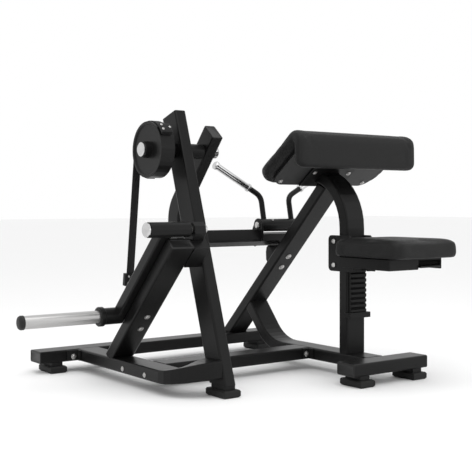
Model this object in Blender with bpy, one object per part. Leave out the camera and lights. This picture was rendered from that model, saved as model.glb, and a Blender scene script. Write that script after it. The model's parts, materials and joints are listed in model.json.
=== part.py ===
"""Plate-loaded seated arm-curl machine with a belt and wheel drive.

Built in metres, +Z up, +Y the way the user faces, +X the user's right.
Every shape is laid out in a working frame whose X = 0 is the middle plane of the seat,
whose Y = 0 is the user's side of the front cross tube and whose Z = 0 is the floor.
The finished object is then moved so that its origin is the middle of its footprint.
"""
import math

import bmesh
import bpy
from mathutils import Matrix, Vector

for old in list(bpy.data.objects):
    bpy.data.objects.remove(old, do_unlink=True)

# ---------------------------------------------------------------- driving dimensions
GAP = 0.0003                # clearance between pieces that touch
TUBE_W = 0.100              # wide side of the frame's rectangular tube
TUBE_T = 0.050              # narrow side
TUBE_R = 0.007              # corner radius of the tube
FOOT_Z = 0.028              # rubber foot height
BASE_Z = 0.044              # underside of the floor tubes
TOP_Z = BASE_Z + TUBE_T     # upper face of the floor tubes
HALF = TUBE_W / 2

FRONT_HALF = 0.200          # half length of the front cross tube
REAR_Y = 0.990              # user's side of the rear cross tube
REAR_X = (-1.038, 0.180)    # ends of the rear cross tube
SIDE_X = -0.820             # middle of the side rail and the support leg
LINK_Y = 0.445              # user's side of the floor cross link
TOWER_X = (-0.700, -0.650)  # thickness of the leaning tower post
TOWER_LEAN = math.radians(18.2)
SEAT_POST_Y = 0.205         # user's side of the seat post
PAD_POST_SUM = 1.151        # y + z along the middle of the 45 degree pad post

ELBOW = Vector((-0.535, 0.510, 0.918))      # axis of the curl arm and the belt wheel
SWIVEL = Vector((0.0, 0.726, 0.613))        # axis of the swivelling handles
LOAD = Vector((-0.860, 0.280, 0.614))       # axis of the load arm
HORN = Vector((-0.972, 0.617, 0.272))       # root of the weight horn
ANCHOR = Vector((-0.789, 0.702, 0.300))     # pin that holds the belt to the load arm
LEVER = Vector((0.0, 0.100, 0.474))         # axis of the seat's release lever
SEAT = Vector((0.0, 0.230, 0.500))          # reference point of the sliding seat

WHEEL_R = 0.1095
HUB_R = 0.030               # outside of the tube that carries the curl axle
BELT_W = 0.034
BELT_T = 0.003
BELT_X = (ANCHOR.x - BELT_W / 2, ANCHOR.x + BELT_W / 2)
SPAN_START = 0.105          # from the pin up the belt to where its free span starts
HANDLE_X = 0.008            # middle of the swivelling handles
LOAD_ARM_X = (-0.900, -0.850)

PAD_TILT = math.atan2(0.6, 0.8)             # slope of the arm pad, falling away from the user
PAD_HALF = 0.3185
PAD_TOP = 0.9500                            # heights across the slope: top of the cushion,
PAD_SEAM = 0.9020                           # its underside,
BOARD_LOW = 0.8895                          # underside of the board,
PLATE_LOW = 0.8830                          # underside of the mounting plate
PAD_FAR = -0.113                            # far edge of the pad, measured down the slope
BOARD_HALF = 0.274

HORN_TIP_X = -1.300
GRIP_REACH = 0.3513         # how far the right grip stands out
FRONT_Y = -0.195            # front edge of the seat
BACK_Y = REAR_Y + HALF + 0.060              # back edge of the rear feet
ORIGIN = Vector(((HORN_TIP_X + GRIP_REACH) / 2, (FRONT_Y + BACK_Y) / 2, 0.0))

# ---------------------------------------------------------------- materials and axes
FINISHES = {
    "frame_black": ((0.018, 0.018, 0.019), 0.45, 0.0),
    "arm_black": ((0.022, 0.022, 0.023), 0.40, 0.0),
    "satin_steel": ((0.62, 0.61, 0.58), 0.30, 1.0),
    "chrome": ((0.80, 0.80, 0.80), 0.12, 1.0),
    "zinc": ((0.70, 0.70, 0.70), 0.25, 1.0),
    "vinyl": ((0.020, 0.020, 0.022), 0.50, 0.0),
    "rubber": ((0.015, 0.015, 0.015), 0.80, 0.0),
    "plastic": ((0.020, 0.020, 0.020), 0.55, 0.0),
    "bronze": ((0.45, 0.33, 0.16), 0.35, 1.0),
}

BODY_POINTS = {
    "frame": (None, ORIGIN),
    "curl": ("frame", ELBOW),
    "handles": ("curl", SWIVEL),
    "load": ("frame", LOAD),
    "belt": ("load", ANCHOR),
    "seat": ("frame", SEAT),
    "lever": ("seat", LEVER),
}
bodies = {}
for body_name, (parent_name, point) in BODY_POINTS.items():
    empty = bpy.data.objects.new(body_name + "_axis", None)
    empty.empty_display_size = 0.05
    bpy.context.collection.objects.link(empty)
    if parent_name:
        empty.parent = bodies[parent_name]
        empty.location = point - BODY_POINTS[parent_name][1]
    bodies[body_name] = empty


def finish_material(name, slot):
    """One Principled material for each object."""
    color, roughness, metallic = FINISHES[slot]
    material = bpy.data.materials.new(name + "_" + slot)
    material.use_nodes = True
    shader = material.node_tree.nodes["Principled BSDF"]
    shader.inputs["Base Color"].default_value = (*color, 1.0)
    shader.inputs["Roughness"].default_value = roughness
    shader.inputs["Metallic"].default_value = metallic
    return material


def make(name, body, slot, shape):
    """Turn the bmesh of one sub-part into an object that hangs on its body's axis."""
    bmesh.ops.recalc_face_normals(shape, faces=shape.faces[:])
    bmesh.ops.translate(shape, vec=-BODY_POINTS[body][1], verts=shape.verts[:])
    mesh = bpy.data.meshes.new(name)
    shape.to_mesh(mesh)
    shape.free()
    mesh.shade_smooth()
    mesh.set_sharp_from_angle(angle=math.radians(35))
    mesh.materials.append(finish_material(name, slot))
    part = bpy.data.objects.new(name, mesh)
    part.parent = bodies[body]
    bpy.context.collection.objects.link(part)
    return part


def combine(part, body, operation, shapes):
    """Give a part an exact Boolean with each of the shapes, in order."""
    for shape in shapes:
        number = len(part.modifiers)
        cutter = make("%s_tool_%d" % (part.name, number), body, "frame_black", shape)
        cutter.hide_render = True
        cutter.display_type = "WIRE"
        boolean = part.modifiers.new("boolean_%d" % number, "BOOLEAN")
        boolean.operation = operation
        boolean.solver = "EXACT"
        boolean.object = cutter


def cut_with(part, body, *shapes):
    """Subtract shapes from a part."""
    combine(part, body, "DIFFERENCE", shapes)


def join_with(part, body, *shapes):
    """Weld shapes onto a part, so that it stays one body."""
    combine(part, body, "UNION", shapes)


# ---------------------------------------------------------------- shape helpers
def place(axis, first, second, along):
    """A point from its two outline coordinates and its distance along the axis."""
    if axis == "X":
        return Vector((along, first, second))
    if axis == "Y":
        return Vector((first, along, second))
    return Vector((first, second, along))


def prism(axis, outline, low, high, radius=0.0, ends=(), every=False, steps=2):
    """A closed outline run along an axis. radius rounds the edges of its two faces,
    except on the sides listed in ends; every rounds all edges."""
    shape = bmesh.new()
    first = [shape.verts.new(place(axis, u, v, low)) for u, v in outline]
    last = [shape.verts.new(place(axis, u, v, high)) for u, v in outline]
    count = len(outline)
    shape.faces.new(first)
    shape.faces.new(last)
    rims = []
    for i in range(count):
        j = (i + 1) % count
        shape.faces.new((first[i], first[j], last[j], last[i]))
        if i not in ends:
            rims += [shape.edges.get((first[i], first[j])), shape.edges.get((last[i], last[j]))]
    bmesh.ops.recalc_face_normals(shape, faces=shape.faces[:])
    if radius > 0:
        edges = shape.edges[:] if every else rims
        bmesh.ops.bevel(shape, geom=edges, offset=radius, offset_type="OFFSET",
                        segments=steps, profile=0.5, affect="EDGES", clamp_overlap=True)
    return shape


def box(low, high, radius=0.0, steps=2):
    """A block between two corners with all its edges rounded."""
    outline = [(low[0], low[1]), (high[0], low[1]), (high[0], high[1]), (low[0], high[1])]
    return prism("Z", outline, low[2], high[2], radius, every=True, steps=steps)


def slice_off(shape, point, normal):
    """Remove what lies on the side of the plane that the normal points to, and close it."""
    cut = bmesh.ops.bisect_plane(
        shape, geom=shape.verts[:] + shape.edges[:] + shape.faces[:],
        plane_co=Vector(point), plane_no=Vector(normal), clear_outer=True)
    edges = [item for item in cut["geom_cut"] if isinstance(item, bmesh.types.BMEdge)]
    bmesh.ops.edgeloop_fill(shape, edges=edges)
    return shape


def turned(origin, axis, profile, segments=24, ring=False):
    """A profile of (distance, radius) pairs turned about an axis through origin.
    A ring profile is a closed loop that stays clear of the axis."""
    shape = bmesh.new()
    turn = Vector((0, 0, 1)).rotation_difference(Vector(axis).normalized()).to_matrix().to_4x4()
    frame = Matrix.Translation(Vector(origin)) @ turn
    rows = []
    for distance, radius in profile:
        if radius < 1e-7:
            rows.append([shape.verts.new(frame @ Vector((0, 0, distance)))])
            continue
        row = []
        for k in range(segments):
            angle = math.tau * k / segments
            local = Vector((radius * math.cos(angle), radius * math.sin(angle), distance))
            row.append(shape.verts.new(frame @ local))
        rows.append(row)
    pairs = list(zip(rows, rows[1:]))
    if ring:
        pairs.append((rows[-1], rows[0]))
    elif len(rows[0]) > 1:
        shape.faces.new(rows[0])
    if not ring and len(rows[-1]) > 1:
        shape.faces.new(rows[-1])
    for low, high in pairs:
        for k in range(segments):
            j = (k + 1) % segments
            corners = [low[k % len(low)], low[j % len(low)], high[j % len(high)], high[k % len(high)]]
            unique = list(dict.fromkeys(corners))
            if len(unique) > 2:
                shape.faces.new(unique)
    bmesh.ops.recalc_face_normals(shape, faces=shape.faces[:])
    return shape


def drum(x_low, x_high, centre, radius, chamfer=0.0, segments=24):
    """A cylinder along X with an optional chamfer at both ends."""
    length = x_high - x_low
    profile = [(0, radius - chamfer), (chamfer, radius), (length - chamfer, radius),
               (length, radius - chamfer)]
    if chamfer == 0:
        profile = [(0, radius), (length, radius)]
    return turned((x_low, centre[0], centre[1]), (1, 0, 0), profile, segments)


def sleeve(x_low, x_high, centre, inner, outer, segments=24):
    """A hollow cylinder along X."""
    length = x_high - x_low
    profile = [(0, inner), (length, inner), (length, outer), (0, outer)]
    return turned((x_low, centre[0], centre[1]), (1, 0, 0), profile, segments, ring=True)


def rod(points, radius, segments=12):
    """A round bar that follows a list of points."""
    shape = bmesh.new()
    points = [Vector(p) for p in points]
    heading = (points[1] - points[0]).normalized()
    side = heading.orthogonal().normalized()
    rows = []
    for i, point in enumerate(points):
        ahead = (points[min(i + 1, len(points) - 1)] - point).normalized() if i + 1 < len(points) else heading
        behind = (point - points[i - 1]).normalized() if i else ahead
        new_heading = (ahead + behind).normalized()
        side = heading.rotation_difference(new_heading) @ side
        heading = new_heading
        up = heading.cross(side).normalized()
        row = []
        for k in range(segments):
            angle = math.tau * k / segments
            row.append(shape.verts.new(point + radius * (math.cos(angle) * side + math.sin(angle) * up)))
        rows.append(row)
    shape.faces.new(rows[0])
    shape.faces.new(rows[-1])
    for low, high in zip(rows, rows[1:]):
        for k in range(segments):
            j = (k + 1) % segments
            shape.faces.new((low[k], low[j], high[j], high[k]))
    bmesh.ops.recalc_face_normals(shape, faces=shape.faces[:])
    return shape


def headed_pin(x_low, x_high, centre, radius, head_radius, head):
    """A pin along X between two round heads; x_low and x_high are the heads' inner faces."""
    length = x_high - x_low
    profile = [(-head, head_radius * 0.7), (-head * 0.6, head_radius), (0, head_radius), (0, radius),
               (length, radius), (length, head_radius), (length + head * 0.6, head_radius),
               (length + head, head_radius * 0.7)]
    return turned((x_low, centre[0], centre[1]), (1, 0, 0), profile, 20)


def arc(centre, radius, start, stop, steps):
    """Points on a circle between two angles in degrees."""
    points = []
    for k in range(steps + 1):
        angle = math.radians(start + (stop - start) * k / steps)
        points.append((centre[0] + radius * math.cos(angle), centre[1] + radius * math.sin(angle)))
    return points


def filleted(corners, radii, steps=6):
    """A polyline whose inner corners are replaced by arcs of the given radii."""
    corners = [Vector(c) for c in corners]
    points = [corners[0]]
    for before, corner, after, radius in zip(corners, corners[1:], corners[2:], radii):
        into = (corner - before).normalized()
        out = (after - corner).normalized()
        turn = into.angle(out)
        reach = radius * math.tan(turn / 2)
        start = corner - into * reach
        side = Vector((-into.y, into.x)) * (1 if into.cross(out) > 0 else -1)
        centre = start + side * radius
        sign = 1 if into.cross(out) > 0 else -1
        for k in range(steps + 1):
            points.append(centre + Matrix.Rotation(sign * turn * k / steps, 2) @ (start - centre))
    points.append(corners[-1])
    return points


def strip(centreline, thickness):
    """The outline of a band about a centreline, and which of its sides are its two ends."""
    left, right = [], []
    count = len(centreline)
    for i, point in enumerate(centreline):
        ahead = centreline[min(i + 1, count - 1)]
        behind = centreline[max(i - 1, 0)]
        heading = (ahead - behind).normalized()
        side = Vector((-heading.y, heading.x)) * (thickness / 2)
        left.append(tuple(point + side))
        right.append(tuple(point - side))
    return left + right[::-1], (count - 1, 2 * count - 1)


def strip_tube(centreline, thickness, x_low, x_high, radius=TUBE_R):
    """A rectangular tube that follows a centreline in the YZ plane."""
    outline, ends = strip([Vector(p) for p in centreline], thickness)
    return prism("X", outline, x_low, x_high, radius, ends)


def tangent_up(point, centre, radius):
    """The tangent from a point to a wheel in the YZ plane, on the wheel's +Y side:
    its tilt from vertical towards the user, its length and where it touches."""
    offset = Vector((point.y - centre.y, point.z - centre.z))
    tilt = math.atan2(offset.x, -offset.y) - math.asin(radius / offset.length)
    length = math.sqrt(offset.length ** 2 - radius ** 2)
    touch = (centre.y + radius * math.cos(tilt), centre.z + radius * math.sin(tilt))
    return tilt, length, touch


def on_pad(along, height):
    """A YZ point from its distance down the arm pad's slope and its height across it."""
    return (along * math.cos(PAD_TILT) + height * math.sin(PAD_TILT),
            -along * math.sin(PAD_TILT) + height * math.cos(PAD_TILT))


PAD_NORMAL = Vector((0.0, math.sin(PAD_TILT), math.cos(PAD_TILT)))


# ---------------------------------------------------------------- floor frame
def floor_frame():
    """The cross tubes that lie on the floor."""
    floor_tube("front_cross_tube", 0.0, -FRONT_HALF, FRONT_HALF)
    floor_tube("rear_cross_tube", REAR_Y, *REAR_X)
    floor_tube("floor_cross_link", LINK_Y, SIDE_X + HALF + GAP, -HALF - GAP)


def floor_tube(name, near, x_low, x_high):
    """A straight tube lying flat along X; near is the Y of its user's side."""
    outline = [(near, BASE_Z), (near + TUBE_W, BASE_Z), (near + TUBE_W, TOP_Z), (near, TOP_Z)]
    shape = prism("X", outline, x_low, x_high)
    bevel_long_edges(shape, "X")
    make(name, "frame", "frame_black", shape)


def bevel_long_edges(shape, axis):
    """Round the edges of a tube that run along its own axis."""
    index = "XYZ".index(axis)
    edges = []
    for edge in shape.edges:
        run = edge.verts[1].co - edge.verts[0].co
        if abs(run[index]) > 0.9 * run.length:
            edges.append(edge)
    bmesh.ops.bevel(shape, geom=edges, offset=TUBE_R, offset_type="OFFSET", segments=2,
                    profile=0.5, affect="EDGES", clamp_overlap=True)


def centre_rail():
    """The middle rail, which bends up behind the seat post to brace the pad post."""
    rise = math.radians(49)
    bend_y, bend_z = 0.7295, BASE_Z + TUBE_T / 2
    run = 0.30
    line = filleted([(TUBE_W + GAP, bend_z), (bend_y, bend_z),
                     (bend_y + run * math.cos(rise), bend_z + run * math.sin(rise))], [0.200], 6)
    shape = strip_tube(line, TUBE_T, -HALF, HALF)
    lower_face = (PAD_POST_SUM - TUBE_T / math.sqrt(2)) / 2 - GAP
    slice_off(shape, (0, lower_face, lower_face), (0, 1, 1))
    make("centre_rail", "frame", "frame_black", shape)


def pad_post():
    """The 45 degree post from the rear cross tube up to the arm pad."""
    top_y, foot_y = 0.330, 1.12
    shape = strip_tube([(foot_y, PAD_POST_SUM - foot_y), (top_y, PAD_POST_SUM - top_y)],
                       TUBE_T, -HALF, HALF)
    slice_off(shape, (0, 0, TOP_Z + GAP), (0, 0, -1))
    meet_y, meet_z = 0.366, 0.7830
    slice_off(shape, (0, meet_y, meet_z), (0, -0.45, 0.895))
    slice_off(shape, PAD_NORMAL * (PLATE_LOW - GAP), PAD_NORMAL)
    make("pad_post", "frame", "frame_black", shape)


def seat_post():
    """The upright behind the seat, which curves over to carry the arm pad."""
    middle = SEAT_POST_Y + TUBE_T / 2
    bend_z, bend_r = 0.608, 0.225
    centre = (middle + bend_r, bend_z)
    line = [(middle, TOP_Z + GAP)] + arc(centre, bend_r, 180, 104, 9)
    shape = strip_tube(line, TUBE_T, -HALF, HALF)
    slice_off(shape, PAD_NORMAL * (PLATE_LOW - GAP), PAD_NORMAL)
    make("seat_post", "frame", "frame_black", shape)


def side_rail():
    """The left floor rail, whose front end sweeps round and up to the tower post."""
    bend_r = 0.120
    straight_y = 0.340
    stations = [(SIDE_X, REAR_Y - GAP, 0.0), (SIDE_X, straight_y + 0.02, 0.0)]
    for k in range(9):
        angle = math.radians(90 * k / 8)
        stations.append((SIDE_X + bend_r * (1 - math.cos(angle)),
                         straight_y - bend_r * math.sin(angle), angle))
    shape = bmesh.new()
    rows = []
    for x, y, angle in stations:
        lift = math.sin(angle) ** 1.5
        low = BASE_Z + 0.024 * lift
        high = TOP_Z + 0.042 * lift
        side = Vector((math.cos(angle), math.sin(angle), 0))
        if angle > 1.57:
            x = TOWER_X[0] - GAP
        row = []
        for across, up in rounded_rectangle(HALF, low, high, TUBE_R):
            row.append(shape.verts.new(Vector((x, y, 0)) + side * across + Vector((0, 0, up))))
        rows.append(row)
    shape.faces.new(rows[0])
    shape.faces.new(rows[-1])
    for low_row, high_row in zip(rows, rows[1:]):
        count = len(low_row)
        for k in range(count):
            j = (k + 1) % count
            shape.faces.new((low_row[k], low_row[j], high_row[j], high_row[k]))
    make("side_rail", "frame", "frame_black", shape)


def rounded_rectangle(half, low, high, radius):
    """A section about its middle line, with two steps round each corner."""
    points = []
    for corner_x, corner_z, start in ((half, low, 270), (half, high, 0), (-half, high, 90), (-half, low, 180)):
        centre = (corner_x - math.copysign(radius, corner_x),
                  corner_z + radius if corner_z == low else corner_z - radius)
        points += arc(centre, radius, start, start + 90, 2)
    return points


def tower_post():
    """The leaning post that carries the curl axle on the user's left."""
    along = Vector((math.sin(TOWER_LEAN), math.cos(TOWER_LEAN)))
    across = Vector((math.cos(TOWER_LEAN), -math.sin(TOWER_LEAN)))
    foot = Vector((0.147, 0.029)) + across * HALF
    length = 1.102
    shape = strip_tube([foot - along * 0.05, foot + along * length], TUBE_W, TOWER_X[0], TOWER_X[1])
    slice_off(shape, (0, 0, BASE_Z), (0, 0, -1))
    post = make("tower_post", "frame", "frame_black", shape)
    bore = drum(TOWER_X[0] - 0.02, TOWER_X[1] + 0.02, (ELBOW.y, ELBOW.z), HUB_R + GAP, segments=28)
    cut_with(post, "frame", bore)


# ---------------------------------------------------------------- load side of the frame
LEG_ANGLE = math.radians(45.4)
LEG_DOWN = Vector((math.cos(LEG_ANGLE), -math.sin(LEG_ANGLE)))
LEG_OUT = Vector((math.sin(LEG_ANGLE), math.cos(LEG_ANGLE)))
LEG_TOP = Vector((0.245, 0.544)) + LEG_OUT * TUBE_T / 2


def support_leg():
    """The sloping leg under the load pivot."""
    bottom = LEG_TOP + LEG_DOWN * 0.66
    leg = strip_tube([LEG_TOP, bottom], TUBE_T, SIDE_X - HALF, SIDE_X + HALF)
    slice_off(leg, (0, 0, TOP_Z + GAP), (0, 0, -1))
    make("support_leg", "frame", "frame_black", leg)


def load_pivot():
    """The fixed shaft of the load arm, and the link with the saddle that holds it."""
    pivot = (LOAD.y, LOAD.z)
    make("load_pivot_shaft", "frame", "satin_steel", drum(-0.952, TOWER_X[0] - GAP, pivot, 0.016))
    tube = strip_tube([LEG_TOP + LEG_DOWN * 0.002, LEG_TOP + LEG_DOWN * 0.103], TUBE_T,
                      SIDE_X + HALF + GAP, TOWER_X[0] - GAP, 0)
    link = make("support_link", "frame", "frame_black", tube)
    corner = LEG_TOP + LEG_OUT * TUBE_T / 2
    saddle = [(0.020, -0.004), (0.060, -0.004), (0.060, 0.002), (0.014, 0.048), (-0.012, 0.054), (-0.036, 0.052),
              (-0.052, 0.036), (-0.053, 0.014), (-0.036, -0.008), (-0.004, -0.012), (0.020, -0.012)]
    outline = [tuple(corner + LEG_DOWN * s + LEG_OUT * h) for s, h in saddle]
    join_with(link, "frame", prism("X", outline, -0.765, -0.715, 0.002))
    cut_with(link, "frame", drum(-0.80, -0.690, pivot, 0.0163))


# ---------------------------------------------------------------- feet, stop and rack
FEET = [("front_left", -0.140, HALF), ("front_right", 0.150, HALF), ("rear_left", -0.961, REAR_Y + HALF),
        ("rear_right", 0.125, REAR_Y + HALF), ("tower", sum(TOWER_X) / 2, 0.200)]


def feet():
    """Five rubber feet with the short necks that they are screwed to the tubes by."""
    for name, x, y in FEET:
        shape = bmesh.new()
        rows = []
        for half_x, half_y, z in ((0.031, 0.054, 0), (0.037, 0.060, 0.006), (0.037, 0.060, 0.023),
                                  (0.033, 0.056, FOOT_Z), (0.024, 0.042, FOOT_Z), (0.024, 0.042, BASE_Z - GAP)):
            corners = ((-half_x, -half_y), (half_x, -half_y), (half_x, half_y), (-half_x, half_y))
            rows.append([shape.verts.new((x + a, y + b, z)) for a, b in corners])
        shape.faces.new(rows[0])
        shape.faces.new(rows[-1])
        for low, high in zip(rows, rows[1:]):
            for k in range(4):
                j = (k + 1) % 4
                shape.faces.new((low[k], low[j], high[j], high[k]))
        make("foot_" + name, "frame", "rubber", shape)


def rest_bumper():
    """The rubber block on the pad post that the handle fork rests on."""
    foot_y = 0.724
    foot = Vector((foot_y, PAD_POST_SUM + TUBE_T / math.sqrt(2) - foot_y))
    down, out = Vector((1, -1)).normalized(), Vector((1, 1)).normalized()
    profile = [(-0.034, GAP), (0.034, GAP), (0.030, 0.020), (0.006, 0.046), (-0.012, 0.0580),
               (-0.026, 0.0560), (-0.034, 0.040)]
    outline = [tuple(foot + down * s + out * h) for s, h in profile]
    make("rest_bumper", "frame", "rubber", prism("X", outline, -0.038, 0.038, 0.003))


def height_rack():
    """The toothed strip on the seat post that the seat latches on, with its end collar."""
    low, high, pitch = 0.262, 0.500, 0.0208
    back, root, tip = SEAT_POST_Y - GAP, SEAT_POST_Y - 0.011, SEAT_POST_Y - 0.017
    outline = [(back, low), (root, low)]
    teeth = int((high - low) / pitch)
    for k in range(teeth):
        z = low + pitch * k
        outline += [(tip, z + 0.004), (tip, z + 0.013), (root, z + 0.017)]
    outline += [(root, high), (back, high)]
    rack = make("height_rack", "frame", "frame_black", prism("X", outline, -0.042, 0.042))
    y, t = SEAT_POST_Y, 0.006
    x = HALF + GAP
    front, rear = y - 0.026, y + 0.012
    collar = [(-x - t, rear), (-x - t, front), (x + t, front), (x + t, rear), (x, rear),
              (x, y - GAP), (-x, y - GAP), (-x, rear)]
    join_with(rack, "frame", prism("Z", collar, 0.242, low + 0.002))


# ---------------------------------------------------------------- arm pad
def arm_pad():
    """The sloping arm pad with its front lip, its board and its mounting plate."""
    front_y, lip_y, lip_z, round_r = 0.178, 0.2155, 0.851, 0.051
    centre = (front_y + round_r, (PAD_TOP - round_r - 0.6 * (front_y + round_r)) / 0.8)
    far_top, far_low = on_pad(PAD_FAR - 0.026, PAD_TOP - 0.026), on_pad(PAD_FAR - 0.020, PAD_SEAM + 0.020)
    tilt = math.degrees(PAD_TILT)
    outline = [(front_y, lip_z + 0.012), *arc(centre, round_r, 180, 90 - tilt, 6),
               *arc(far_top, 0.026, 90 - tilt, -tilt, 4), *arc(far_low, 0.020, -tilt, -90 - tilt, 3),
               (lip_y, (PAD_SEAM - 0.6 * lip_y) / 0.8), (lip_y, lip_z + 0.010),
               (lip_y - 0.010, lip_z), (front_y + 0.012, lip_z)]
    pad = make("arm_pad", "frame", "vinyl", prism("X", outline, -PAD_HALF, PAD_HALF, 0.010, steps=2))
    combine(pad, "frame", "INTERSECT", [pad_plan(PAD_HALF + 0.001, PAD_FAR + 0.001, 0.090)])

    near, far = -0.393, PAD_FAR - 0.016
    board = [on_pad(near, PAD_SEAM - GAP), on_pad(far, PAD_SEAM - GAP), on_pad(far, BOARD_LOW),
             on_pad(near, BOARD_LOW)]
    wood = make("arm_pad_board", "frame", "plastic", prism("X", board, -BOARD_HALF, BOARD_HALF))
    combine(wood, "frame", "INTERSECT", [pad_plan(BOARD_HALF + 0.001, far + 0.001, 0.065)])

    plate = [on_pad(-0.330, BOARD_LOW - GAP), on_pad(-0.130, BOARD_LOW - GAP), on_pad(-0.130, PLATE_LOW),
             on_pad(-0.330, PLATE_LOW)]
    make("pad_mount_plate", "frame", "frame_black", prism("X", plate, -0.120, 0.120))


def pad_plan(half, far, radius):
    """What a piece of the pad keeps, seen square to its slope: its far corners are round."""
    outline = [(half, -0.60), *arc((half - radius, far - radius), radius, 0, 90, 6),
               *arc((-half + radius, far - radius), radius, 90, 180, 6), (-half, -0.60)]
    shape = bmesh.new()
    rows = []
    for height in (0.60, 1.10):
        rows.append([shape.verts.new(Vector((x, *on_pad(s, height)))) for x, s in outline])
    shape.faces.new(rows[0])
    shape.faces.new(rows[1])
    for k in range(len(outline)):
        j = (k + 1) % len(outline)
        shape.faces.new((rows[0][k], rows[0][j], rows[1][j], rows[1][k]))
    bmesh.ops.recalc_face_normals(shape, faces=shape.faces[:])
    return shape


# ---------------------------------------------------------------- seat
def seat():
    """The sliding seat: pad, tray, carriage, guide block, rollers and release lever."""
    pad = prism("Z", seat_plan(0.165, FRONT_Y, 0.163, 0.050), SEAT.z, 0.571, 0.016, steps=2)
    make("seat_pad", "seat", "vinyl", pad)

    low, high = 0.455, SEAT.z - GAP
    tray = make("seat_tray", "seat", "frame_black", box((-0.145, -0.127, low), (0.145, 0.155, high), 0.003, 1))
    hollow = box((-0.140, -0.122, low - 0.02), (0.140, 0.150, high - 0.005))
    window = box((0.012, -0.140, low - 0.01), (0.139, -0.110, high - 0.008))
    slot = box((-0.020, 0.140, low - 0.01), (0.020, 0.170, high - 0.008))
    cut_with(tray, "seat", hollow, window, slot)

    rear = SEAT_POST_Y + TUBE_T + 0.0175
    rollers = (("lower", 0.456), ("upper", 0.554))
    side = [(0.1555, 0.431), *arc((0.289, 0.449), 0.018, 270, 360, 4), *arc((0.289, 0.561), 0.018, 0, 90, 4),
            (0.182, 0.579), (0.1640, 0.561), (0.1640, high - 0.001), (0.1555, high - 0.001)]
    carriage = make("seat_carriage", "seat", "frame_black", prism("X", side, -0.0610, -0.0540))
    join_with(carriage, "seat", box((-0.0580, 0.1565, 0.4325), (0.0580, 0.1635, 0.4975)),
              prism("X", side, 0.0540, 0.0610))
    cut_with(carriage, "seat", box((-0.020, 0.140, 0.420), (0.020, 0.180, high - 0.008)))
    for _, z in rollers:
        cut_with(carriage, "seat", drum(-0.07, 0.07, (rear, z), 0.0063, segments=20))

    block = make("guide_block", "seat", "plastic", box((-0.0537, 0.1640, 0.436), (0.0537, 0.1862, 0.572)))
    cut_with(block, "seat", box((-0.0215, 0.150, 0.420), (0.0215, 0.200, 0.500)))
    for name, z in rollers:
        make("seat_roller_" + name, "seat", "plastic", sleeve(-0.0535, 0.0535, (rear, z), 0.0063, 0.0168, 20))
        make("roller_axle_" + name, "seat", "zinc", headed_pin(-0.0613, 0.0613, (rear, z), 0.006, 0.010, 0.007))

    make("lever_pin", "seat", "satin_steel", drum(-0.1397, 0.1397, (LEVER.y, LEVER.z), 0.005, segments=12))
    arm = [(-0.118, 0.462), (0.070, 0.462), (0.090, 0.460), (0.1862, 0.468), (0.1862, 0.480),
           (0.110, 0.488), (0.070, 0.472), (-0.118, 0.470)]
    lever = make("release_lever", "lever", "frame_black", prism("X", arm, -0.010, 0.010))
    join_with(lever, "lever", box((-0.005, -0.117, 0.4628), (0.030, -0.095, 0.4692)),
              box((0.016, -0.136, 0.4615), (0.130, -0.090, 0.4705), 0.003))
    cut_with(lever, "lever", drum(-0.03, 0.03, (LEVER.y, LEVER.z), 0.0053, segments=12))


def seat_plan(half, front, back, radius):
    """The seat's rounded outline seen from above."""
    points = []
    for x, y, start in ((half - radius, front + radius, 270), (half - radius, back - radius, 0),
                        (-half + radius, back - radius, 90), (-half + radius, front + radius, 180)):
        points += arc((x, y), radius, start, start + 90, 5)
    return points


# ---------------------------------------------------------------- curl mechanism
def curl_bearings():
    """The hub tube through the tower post and the bearings at its two ends."""
    elbow = (ELBOW.y, ELBOW.z)
    left, right = -0.745, ELBOW.x - 0.030
    make("elbow_hub", "frame", "frame_black", sleeve(left, right, elbow, 0.0215, HUB_R, 28))
    make("elbow_bearing_left", "frame", "satin_steel", sleeve(left + 0.002, left + 0.022, elbow, 0.0153, 0.0212))
    make("elbow_bearing_right", "frame", "satin_steel",
         sleeve(right - 0.022, right - 0.002, elbow, 0.0153, 0.0212))


def curl_arm():
    """The axle, the bent arm and the beam that carries the handles."""
    elbow = (ELBOW.y, ELBOW.z)
    low, high = ELBOW.x - 0.025, ELBOW.x + 0.025
    axle_end = -0.8375
    make("elbow_axle", "curl", "satin_steel", drum(axle_end, high - GAP, elbow, 0.015))
    down = math.radians(49.5)
    heading = Vector((math.cos(down), -math.sin(down)))
    top = Vector((0.4632, 0.9946))
    lower_y = 0.7295
    corner = top + heading * ((lower_y - top.x) / heading.x)
    line = filleted([top, corner, (lower_y, 0.516)], [0.120], 6)
    arm = make("curl_arm", "curl", "arm_black", strip_tube(line, 0.082, low, high))
    cut_with(arm, "curl", drum(low - 0.02, high + 0.02, elbow, 0.0153))
    dome = [(GAP, 0.0265), (0.014, 0.0265), (0.019, 0.023), (0.021, 0.015), (0.0215, 0)]
    make("elbow_cap", "curl", "chrome", turned((high, *elbow), (1, 0, 0), dome, 28))
    button = [(GAP, 0.0275), (0.006, 0.0275), (0.010, 0.022), (0.0115, 0)]
    make("wheel_cap", "curl", "chrome", turned((axle_end, *elbow), (-1, 0, 0), button, 28))

    beam = prism("X", beam_section(), high + GAP, HANDLE_X - 0.117 - GAP)
    bevel_long_edges(beam, "X")
    make("cross_beam", "curl", "arm_black", beam)


def beam_section():
    """The beam's square section, turned 27 degrees about its user-side corner."""
    turn, side = math.radians(27), 0.060
    corner = Vector((0.700, 0.544))
    up = Vector((math.sin(turn), math.cos(turn))) * side
    back = Vector((math.cos(turn), -math.sin(turn))) * side
    return [tuple(corner), tuple(corner + back), tuple(corner + back + up), tuple(corner + up)]


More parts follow.
